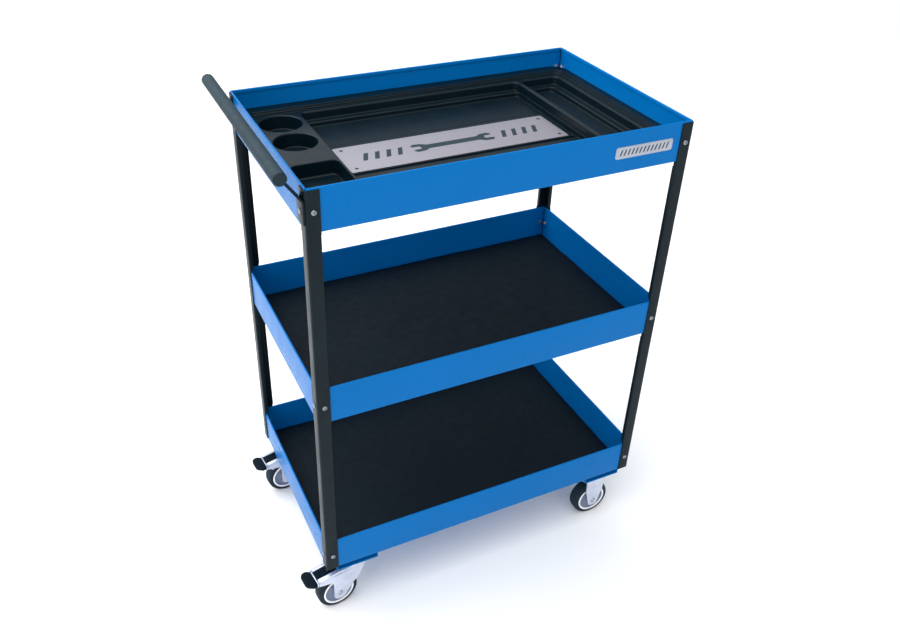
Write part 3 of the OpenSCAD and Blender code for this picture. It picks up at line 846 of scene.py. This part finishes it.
def bracket(name, node):
    """A flat strip bent out from the post to the handle."""
    low, high = box_mm(node)
    bar_low, bar_high = box_mm("handle_bar")
    axis = ((bar_low.x + bar_high.x) / 2, (bar_low.z + bar_high.z) / 2)
    face = -POST_X
    bend = (face - BRACKET_T / 2, RIM - 19)
    stop = (bar_high.x - bar_low.x) / 2 - 0.6
    path = strip_path(low.z, bend, axis, 7, stop)
    mid_y = (low.y + high.y) / 2
    half_w = (high.y - low.y) / 2
    section = rounded_rect(-half_w, half_w, -BRACKET_T / 2, BRACKET_T / 2, 0.45, 2)
    rings = []
    for k, point in enumerate(path):
        before = path[max(k - 1, 0)]
        after = path[min(k + 1, len(path) - 1)]
        ahead = (after - before).normalized()
        across = Vector((ahead.y, -ahead.x))
        rings.append([
            Vector((point.x + across.x * t, mid_y + w, point.y + across.y * t)) for w, t in section
        ])
    bm = bmesh.new()
    loft(bm, rings)
    piece(name, bm, "charcoal_paint", node)


handle()
bracket("front_bracket", "handle_bracket_front")
bracket("back_bracket", "handle_bracket_back")


# ---- fasteners ----

def screw_spots(rim):
    """Each frame screw of one tray: its matrix, with +Z inwards, and the strip under its head."""
    z = rim - SCREW_DROP
    for sx, sy in CORNERS:
        x, y = sx * (POST_X - SCREW_INSET), sy * POST_Y
        yield moved(x, y, z) @ turned(90 * sy, "X"), 0
        x, y = sx * POST_X, sy * (POST_Y - SCREW_INSET)
        pad = BRACKET_T if sx < 0 and rim == RIM else 0
        yield moved(x, y, z) @ turned(-90 * sx, "Y"), pad


def cross_recess():
    """The tapered cross that is cut into a screw head, which looks towards -Z."""
    bm = bmesh.new()
    wide, thin, deep = 2.1, 0.5, 1.6
    levels = (
        (-6.0, wide * 1.25, thin * 1.2), (-SCREW_HEAD_H + deep, wide * 0.35, thin * 0.7)
    )
    for turn in (0, 90):
        loft(bm, [
            [turned(turn) @ Vector((x, y, z)) for x, y in ((-w, -t), (w, -t), (w, t), (-w, t))]
            for z, w, t in levels
        ])
    return bm


def cut_mesh(target, cutter):
    """The mesh left after one drawing is cut out of another."""
    objects = []
    for bm in (target, cutter):
        bmesh.ops.recalc_face_normals(bm, faces=bm.faces)
        objects.append(mesh_object("work", bm))
    mod = objects[0].modifiers.new("cut", "BOOLEAN")
    mod.object = objects[1]
    mod.operation = "DIFFERENCE"
    mod.solver = "EXACT"
    mod.use_self = True
    graph = bpy.context.evaluated_depsgraph_get()
    made = bpy.data.meshes.new_from_object(objects[0].evaluated_get(graph))
    for work in objects:
        bpy.data.objects.remove(work)
    return made


def screw_mesh():
    """A pan-head screw's head: its seat on Z = 0, its top towards -Z, with a cross recess."""
    bm = bmesh.new()
    r, h = SCREW_HEAD_R, SCREW_HEAD_H
    outline = [(0, 0), (r - 0.3, 0), (r, -0.3), (r, -0.9)]
    outline += [
        (r * math.cos(math.radians(a)), -0.9 - (h - 0.9) * math.sin(math.radians(a)))
        for a in (15, 30, 42, 54, 66, 78)
    ]
    outline += [(0, -h)]
    revolve(bm, outline, Matrix(), 40)
    bmesh.ops.remove_doubles(bm, verts=bm.verts, dist=MERGE)
    return cut_mesh(bm, cross_recess())


def add_mesh(bm, mesh, matrix):
    """Adds a copy of a mesh to a drawing."""
    before = len(bm.verts)
    bm.from_mesh(mesh)
    bm.verts.ensure_lookup_table()
    for v in bm.verts[before:]:
        v.co = matrix @ v.co


def frame_screws():
    """All the frame's screws, each with its cross turned another way."""
    head = screw_mesh()
    bm = bmesh.new()
    turn = 17
    for rim in RIMS:
        for spot, pad in screw_spots(rim):
            turn += 53
            up = moved(0, 0, -pad) @ turned(turn)
            add_mesh(bm, head, spot @ up)
            shank = [(0, -pad), (SCREW_R, -pad), (SCREW_R, 7.9), (SCREW_R - 0.5, 8.5), (0, 8.5)]
            revolve(bm, shank, spot, 20)
    piece("frame_screw_set", bm, "screw_zinc_painted_dark", "frame_screws", limit=30)


def hex_nut(bm, radius, height, bore, matrix, low=0.0):
    """A nut whose corners are turned down at both faces, from low to low + height."""
    high = low + height
    chamfer = radius * 0.11
    lead = 0.35  # the bore's own chamfer
    flat = radius * math.cos(math.radians(30))
    angles = [2 * math.pi * k / 36 for k in range(36)]
    rings = []
    for z, limit in (
        (low, flat), (low + chamfer, radius), (high - chamfer, radius), (high, flat)
    ):
        points = []
        for angle in angles:
            reach = flat / math.cos((angle + math.pi / 6) % (math.pi / 3) - math.pi / 6)
            reach = min(reach, limit)
            points.append(matrix @ Vector((reach * math.cos(angle), reach * math.sin(angle), z)))
        rings.append(points)
    for z, r in ((high, bore + lead), (high - lead, bore), (low + lead, bore), (low, bore + lead)):
        rings.append([matrix @ Vector((r * math.cos(a), r * math.sin(a), z)) for a in angles])
    made = loft(bm, rings, ends=False)
    bridge(bm, made[-1], made[0])


def frame_nuts():
    bm = bmesh.new()
    for rim in RIMS:
        for spot, _pad in screw_spots(rim):
            hex_nut(bm, NUT_R, NUT_H, SCREW_R + 0.05, spot, POST_T + SHEET_T)
    piece("frame_nut_set", bm, "zinc", "frame_nuts", limit=25)


frame_screws()
frame_nuts()


# ---- channels and caster fasteners ----

def channel(name, node):
    """A channel across the underside, open upwards."""
    low, high = box_mm(node)
    outer = 3.2
    mid = (low.x + high.x) / 2
    half = (high.x - low.x) / 2
    outline = [(-half, high.z)]
    outline += arc(-half + outer, low.z + outer, outer, 180, 270, 6)
    outline += arc(half - outer, low.z + outer, outer, 270, 360, 6) + [(half, high.z)]
    inner = outer - CHANNEL_T
    outline += [(half - CHANNEL_T, high.z)]
    outline += arc(half - outer, low.z + outer, inner, 360, 270, 5)
    outline += arc(-half + outer, low.z + outer, inner, 270, 180, 5)
    outline += [(-half + CHANNEL_T, high.z)]
    bm = bmesh.new()
    loft(bm, [
        [Vector((mid + x, y, z)) for x, z in outline]
        for y in (low.y, low.y + 2, high.y - 2, high.y)
    ])
    bevel(piece(name, bm, "blue_paint", node), 0.25)


channel("left_channel", "channel_left")
channel("right_channel", "channel_right")


def caster_place(name, joint):
    """The matrix from a caster's own frame to the cart, from its joints in the record."""
    axis = JOINTS[name + "_spin"]["axis"]
    spot = Vector(JOINTS[joint]["pos_m"]) / MM
    turn = math.degrees(math.atan2(-axis[0], axis[1]))
    return moved(spot.x - MID_X / MM, spot.y, 0) @ turned(turn)


CASTERS = [
    (name, caster_place(name, name + ("_swivel" if swivels else "_spin")), swivels)
    for name, swivels in (
        ("front_left", True), ("back_left", True), ("front_right", False), ("back_right", False)
    )
]
CHANNEL_FLOOR = box_mm("channel_left")[0].z + CHANNEL_T
RACE_TOP = box_mm("front_left_top_plate")[0].z
PLATE_TOP = box_mm("front_left_top_plate")[1].z
BOLT_DX = 30.0
BOLT_DY = 18.0
BOLT_HEAD_R = 5.5
BOLT_HEAD_H = 4.0
BOLT_R = 3.0
BOLT_NUT_H = 5.0


def bolt_spots():
    for _name, place, _swivels in CASTERS:
        for sx, sy in CORNERS:
            yield place.translation.x + sx * BOLT_DX, place.translation.y + sy * BOLT_DY


def caster_fasteners():
    """Four bolts for each caster, heads in the channel, and their nuts."""
    bm = bmesh.new()
    for x, y in bolt_spots():
        head = moved(x, y, CHANNEL_FLOOR)
        hex_nut(bm, BOLT_HEAD_R, BOLT_HEAD_H, 0.5, head)
        revolve(bm, [(0, 0.2), (4.4, 0.2), (4.4, 3.98), (0, 3.98)], head, 24)
        tip = RACE_TOP - BOLT_NUT_H - CHANNEL_FLOOR - 0.6
        shank = [(0, 0.1), (BOLT_R, 0.1), (BOLT_R, tip + 0.5), (BOLT_R - 0.5, tip), (0, tip)]
        revolve(bm, shank, head, 20)
    piece("caster_bolt_set", bm, "zinc", "caster_bolts", limit=25)
    bm = bmesh.new()
    for x, y in bolt_spots():
        nut = moved(x, y, RACE_TOP - BOLT_NUT_H)
        hex_nut(bm, BOLT_HEAD_R, BOLT_NUT_H, BOLT_R + 0.05, nut)
    piece("caster_nut_set", bm, "zinc", "caster_nuts", limit=25)


caster_fasteners()


# ---- casters ----

# Matrices that stand a plate's outline up in the XZ plane and in the YZ plane
SIDE_ON = Matrix(((1, 0, 0, 0), (0, 0, -1, 0), (0, 1, 0, 0), (0, 0, 0, 1)))
ACROSS = Matrix(((0, 0, 1, 0), (1, 0, 0, 0), (0, 1, 0, 0), (0, 0, 0, 1)))


def side_plate(bm, outline, y_low, y_high, edge=0.4):
    """A plate that stands in the XZ plane, between two depths in Y."""
    prism(bm, outline, -y_high, -y_low, SIDE_ON, edge)


def bend_strip(bm, x0, x1, side, outer, thick, reach):
    """The round shoulder and the flat between a fork's side plate and its web."""
    points = [(0, -1.0)] + arc(-outer, 0, outer, 0, 90, 8) + [(-reach, outer)]
    points += [(-reach, outer - thick)] + arc(-outer, 0, outer - thick, 90, 0, 8)
    points += [(-thick, -1.0)]
    rings = []
    for k in range(9):
        x = x0 + (x1 - x0) * k / 8
        rings.append([
            Vector((x, side * (FORK_HALF + py), WEB_TOP - outer + pz)) for py, pz in points
        ])
    loft(bm, rings)


def caster_piece(caster, part, bm, slot, node, limit=35):
    """Moves a shape from its caster's own frame to the cart and finishes it."""
    name, place, _swivels = caster
    bm.transform(place)
    piece(f"{name}_{part}", bm, slot, f"{name}_{node}", limit=limit)


def on_axle(caster):
    """The matrix that lays a turned shape's axis along the wheel's axle."""
    trail = TRAIL if caster[2] else 0.0
    return moved(-trail, 0, WHEEL_Z) @ turned(90, "X")


# The forks' side plates as (x, z) corners, each with its rounding
SWIVEL_CHEEK = [
    (18, 94.5), (16.5, 88), (3, 62), (-6, 55), (-25, 28), (-30, 25), (-41, 26), (-47, 32),
    (-47, 71.5), (-52, 76), (-76, 81.5), (-76, 94.5),
]
SWIVEL_ROUNDS = [0.2, 6, 12, 12, 6, 4, 4, 3, 4, 4, 1.5, 0.2]
RIGID_CHEEK = [
    (-21.5, 114.5), (-21, 100), (-20, 70), (-10, 31), (-6, 27), (6, 27), (10, 31), (20, 70),
    (21, 100), (21.5, 114.5),
]
RIGID_ROUNDS = [0.2, 20, 20, 5, 4, 4, 5, 20, 20, 0.2]
ARM_END = -76.0
WEB_BACK = -34.0
WEB_FRONT = 18.0
ARM_FALL = 0.11  # fall of the arms' top edges, per millimetre behind the web


def cheeks(bm, corners, rounds):
    """A fork's two side plates."""
    outline = fillet(corners, rounds, 6)
    for side in (-1, 1):
        low, high = sorted((side * FORK_HALF, side * (FORK_HALF - FORK_T)))
        side_plate(bm, outline, low, high)


def swivel_fork(caster):
    """Folded fork: two side plates joined by a web, each arm with its top edge folded inwards."""
    bm = bmesh.new()
    outer, thick = 3.5, 2.2
    cheeks(bm, SWIVEL_CHEEK, SWIVEL_ROUNDS)
    for side in (-1, 1):
        bend_strip(bm, ARM_END, WEB_BACK + 1, side, outer, thick, 8.0)
        bend_strip(bm, WEB_BACK, WEB_FRONT, side, outer, thick, outer + 1)
    web = rounded_rect(WEB_BACK, WEB_FRONT, -FORK_HALF + outer, FORK_HALF - outer, 1.0, 4)
    prism(bm, web, WEB_TOP - FORK_T, WEB_TOP, edge=0.3)
    for v in bm.verts:
        if v.co.x < WEB_BACK and v.co.z > 85:
            v.co.z -= (WEB_BACK - v.co.x) * ARM_FALL
    low, high = WEB_TOP - 0.4, WEB_TOP + 0.45
    revolve(bm, [(5.2, low), (5.2, high), (17.0, high), (17.6, WEB_TOP - 0.1), (17.6, low)])
    caster_piece(caster, "fork_sheet", bm, "zinc", "fork")


def rigid_fork(caster):
    """Pressed fork: two side plates under a flat plate."""
    bm = bmesh.new()
    cheeks(bm, RIGID_CHEEK, RIGID_ROUNDS)
    low, high = box_mm(caster[0] + "_fork")
    half = (high - low) / 2
    prism(bm, rounded_rect(-half.x, half.x, -half.y, half.y, 5), RACE_TOP, PLATE_TOP, edge=0.4)
    caster_piece(caster, "fork_sheet", bm, "zinc", "fork")


# Turned shapes are closed outlines of (radius, distance from the wheel's middle)

def axle(caster):
    bm = bmesh.new()
    head = FORK_HALF + 2.0
    for turn in (0, 180):
        outline = [(0, 0), (4, 0), (4, FORK_HALF), (5.5, FORK_HALF), (5.5, FORK_HALF + 0.5)]
        outline += [(5.0, FORK_HALF + 1.3), (3.9, head), (2.6, head)]
        outline += [(2.1, head - 0.7), (0, head - 0.9)]
        revolve(bm, outline, on_axle(caster) @ turned(turn, "X"), 40)
    caster_piece(caster, "axle_rivet", bm, "axle_zinc", "axle")


def tyre(caster):
    half = 12.5
    outline = [(30.8, -half + 0.6), (31.4, -half + 0.1), (32.6, -half)]
    outline += [(35.8, -half + 0.15), (36.2, -half + 0.7), (36.6, -half + 0.6)]
    outline += [(37.9, -half + 1.4), (38.9, -half + 2.8), (39.5, -half + 4.8)]
    outline += [(39.85, -half + 8), (40.0, 0)]
    mirrored = [(r, -h) for r, h in outline[-2::-1]]
    outline = outline + mirrored + [(30.8, half - 0.8), (30.8, -half + 0.8)]
    bm = bmesh.new()
    revolve(bm, outline, on_axle(caster), 96)
    caster_piece(caster, "tyre_tread", bm, "tyre_rubber", "tyre", 30)


def wheel_core(caster):
    """The white wheel centre: its rim, and a hub with a thin disc."""
    half = 13.1
    rim_in, rim_out = 27.2, 30.7
    ring_half = [(rim_in, 0.0), (rim_in, half - 1.0)]
    ring_half += arc(rim_in + 1.0, half - 1.0, 1.0, 180, 90, 4)
    ring_half += arc(rim_out - 0.8, half - 0.8, 0.8, 90, 0, 4) + [(rim_out, 0.0)]
    outline = ring_half + [(r, -h) for r, h in ring_half[-2:0:-1]]
    bm = bmesh.new()
    revolve(bm, outline, on_axle(caster), 96)
    hub = [(6.1, -13.9), (8.6, -13.9), (9, -13.5), (9, -3), (27.1, -3)]
    revolve(bm, hub + [(r, -h) for r, h in hub[::-1]], on_axle(caster))
    caster_piece(caster, "wheel_core", bm, "core_white", "wheel")


def guards(caster):
    bm = bmesh.new()
    outline = [(9.1, 10.2), (26.5, 10.2), (26.7, 10.5), (26.7, 11.6), (26.3, 12.0), (25.4, 12.0)]
    outline += [(24.8, 11.4), (24.2, 11.1), (14.5, 11.2), (13.4, 11.7), (12.4, 13.2)]
    outline += [(11.6, 13.6), (9.1, 13.6)]
    for turn in (0, 180):
        revolve(bm, outline, on_axle(caster) @ turned(turn, "X"), 80)
    caster_piece(caster, "guard_discs", bm, "guard_grey", "thread_guards", 30)


BRAKE_X = -69.0
BRAKE_Z = 86.0
STRIP_X = -78.0
STRIP_HALF_T = 1.1
SHOE_ANGLE = -67.5
SHOE_REACH = 14


def brake_lever(caster):
    """Barrel on the pin, the shoe's plate below it, and the cross strip that carries the pedal."""
    bm = bmesh.new()
    inner = FORK_HALF - FORK_T - 0.5
    pin = moved(BRAKE_X, 0, BRAKE_Z) @ turned(90, "X")
    barrel = [(2.6, -inner), (4.4, -inner), (4.8, -inner + 0.4)]
    revolve(bm, barrel + [(r, -h) for r, h in barrel[::-1]], pin, 40)
    half = inner - 3
    down = pin @ turned(SHOE_ANGLE)
    shoe = [(0, -half), (2.6, -half), (3, -half + 0.4)]
    revolve(bm, shoe + [(r, -h) for r, h in shoe[::-1]], down @ moved(SHOE_REACH, 0, 0), 24)
    plate = [(3, -2.6), (SHOE_REACH, -2.6), (SHOE_REACH, 2.6), (3, 2.6)]
    prism(bm, plate, -half, half, down, 0.3)
    block(bm, (STRIP_X, -inner, BRAKE_Z + 2), (BRAKE_X, inner, BRAKE_Z + 4.4))
    cross = rounded_rect(-FORK_HALF, FORK_HALF, BRAKE_Z - 5, BRAKE_Z + 6.6, 1.5, 4)
    prism(bm, cross, STRIP_X - STRIP_HALF_T, STRIP_X + STRIP_HALF_T, ACROSS, edge=0.4)
    caster_piece(caster, "brake_arm", bm, "zinc", "brake_lever")


def brake_pedal(caster):
    """Foot pedal that widens from the strip and hangs a little at its tip, with fine ribs."""
    bm = bmesh.new()
    tip, root = -99.0, STRIP_X - STRIP_HALF_T
    far, near = 21.5, -17.5
    low, high = 83.0, 90.0
    corners = [(root, -15.5), (root, 16.5), (root - 7, far), (tip + 1, far), (tip, near)]
    outline = fillet(corners + [(root - 4, near)], [0.5, 0.5, 5, 8.5, 15, 3], 10)
    prism(bm, outline, low, high - 0.6, edge=1.6, steps=4)
    ribs = 7
    pitch = (root - tip - 4) / ribs
    for k in range(ribs):
        x0 = tip + 2.8 + k * pitch
        into = x0 - tip
        front = near + 15 - math.sqrt(max(0, 15 ** 2 - max(0, 15 - into) ** 2)) + 2.4
        back = far - 9 + math.sqrt(max(0, 9 ** 2 - max(0, 9 - into) ** 2)) - 2.4
        back = min(back, 15 + (root - x0) * 0.7)
        block(bm, (x0, front, high - 1.2), (x0 + pitch * 0.5, back, high), 0.3)
    for v in bm.verts:
        v.co.z -= 1.5 * ((root - v.co.x) / (root - tip)) ** 2
    tab = BRAKE_Z + 5
    block(bm, (STRIP_X + STRIP_HALF_T, -8, tab), (BRAKE_X + 4, 8, tab + 3.8), 0.8)
    block(bm, (BRAKE_X + 5.2, -9.6, BRAKE_Z - 3), (BRAKE_X + 17, 9.6, tab + 1.6), 0.8)
    block(bm, (BRAKE_X + 3, -8, tab + 0.2), (BRAKE_X + 6, 8, tab + 1.4), 0.3)
    caster_piece(caster, "brake_tread", bm, "pedal_black", "brake_pedal")


def refinish(node_name, slot):
    """Gives a CAD part that keeps its shape a better material."""
    node = frame["nodes"][node_name]
    node.data.materials.clear()
    node.data.materials.append(MAT[slot])
    return node


for caster in CASTERS:
    if caster[2]:
        swivel_fork(caster)
        brake_lever(caster)
        brake_pedal(caster)
    else:
        rigid_fork(caster)
    axle(caster)
    tyre(caster)
    wheel_core(caster)
    guards(caster)
    kept = ("bush", "top_plate", "kingpin", "swivel_race", "brake_pin") if caster[2] else ("bush",)
    for part in kept:
        bevel(refinish(f"{caster[0]}_{part}", "zinc"), 0.3)

refinish("swivel_balls", "ball_steel")


# ---- studio ----

def floor():
    """A wide pale floor, drawn in metres."""
    n = Nodes("studio_floor")
    tone = n.remap(n.noise(0.6, 2), 0, 1)
    base = n.blend(tone, (0.92, 0.925, 0.93, 1), (0.9, 0.905, 0.91, 1))
    material = n.set(Base_Color=base, Roughness=0.9, Specular_IOR_Level=0.1)
    bm = bmesh.new()
    reach = 30.0
    corners = ((-reach, -reach), (reach, -reach), (reach, reach), (-reach, reach))
    bm.faces.new([bm.verts.new((x, y, 0)) for x, y in corners])
    plane = mesh_object("studio_floor", bm)
    plane.data.materials.append(material)


def soft_box(name, place, target, size, power):
    """A rectangular area light at a place, turned towards a target."""
    data = bpy.data.lights.new(name, "AREA")
    data.shape = "RECTANGLE"
    data.size, data.size_y = size
    data.energy = power
    lamp = add_object(name, data)
    lamp.location = place
    lamp.rotation_euler = (Vector(target) - Vector(place)).to_track_quat("-Z", "Y").to_euler()


def surroundings():
    """A white studio whose right-hand side falls away to grey."""
    world = bpy.data.worlds.new("studio")
    bpy.context.scene.world = world
    world.use_nodes = True
    tree = world.node_tree
    place = tree.nodes.new("ShaderNodeTexCoord").outputs["Generated"]
    split = tree.nodes.new("ShaderNodeSeparateXYZ")
    tree.links.new(place, split.inputs[0])
    fall = tree.nodes.new("ShaderNodeMapRange")
    fall.interpolation_type = "SMOOTHSTEP"
    tree.links.new(split.outputs["X"], fall.inputs["Value"])
    ramp = {"From Min": 0.1, "From Max": 0.7, "To Min": 1.35, "To Max": 0.3}
    for key, value in ramp.items():
        fall.inputs[key].default_value = value
    background = tree.nodes["Background"]
    tree.links.new(fall.outputs["Result"], background.inputs["Strength"])
    background.inputs["Color"].default_value = (0.97, 0.985, 1, 1)


def camera():
    """The view from above the front left corner."""
    azimuth, elevation, roll = math.radians(-26.278), math.radians(33.1), 1.78
    data = bpy.data.cameras.new("camera")
    data.lens = 35.27
    data.shift_x = 0.0155
    data.shift_y = -0.027
    cam = add_object("camera", data)
    back = Vector((
        math.sin(azimuth) * math.cos(elevation),
        -math.cos(azimuth) * math.cos(elevation),
        math.sin(elevation),
    ))
    turn = back.to_track_quat("Z", "Y").to_matrix().to_4x4() @ turned(roll)
    cam.matrix_world = moved(-0.6107, -1.2200, 1.4215) @ turn
    bpy.context.scene.camera = cam


def studio():
    floor()
    surroundings()
    soft_box("overhead", (-0.4, -0.2, 3.2), (0, 0, 0.5), (3.2, 3.0), 60)
    soft_box("left_key", (-2.6, -1.4, 1.9), (0, 0, 0.5), (1.8, 2.0), 16)
    soft_box("floor_wash", (-1.1, 0.8, 1.9), (-1.1, 0.8, 0), (1.2, 1.2), 22)
    camera()
    view = bpy.context.scene.view_settings
    view.view_transform = "Standard"
    view.look = "None"


studio()
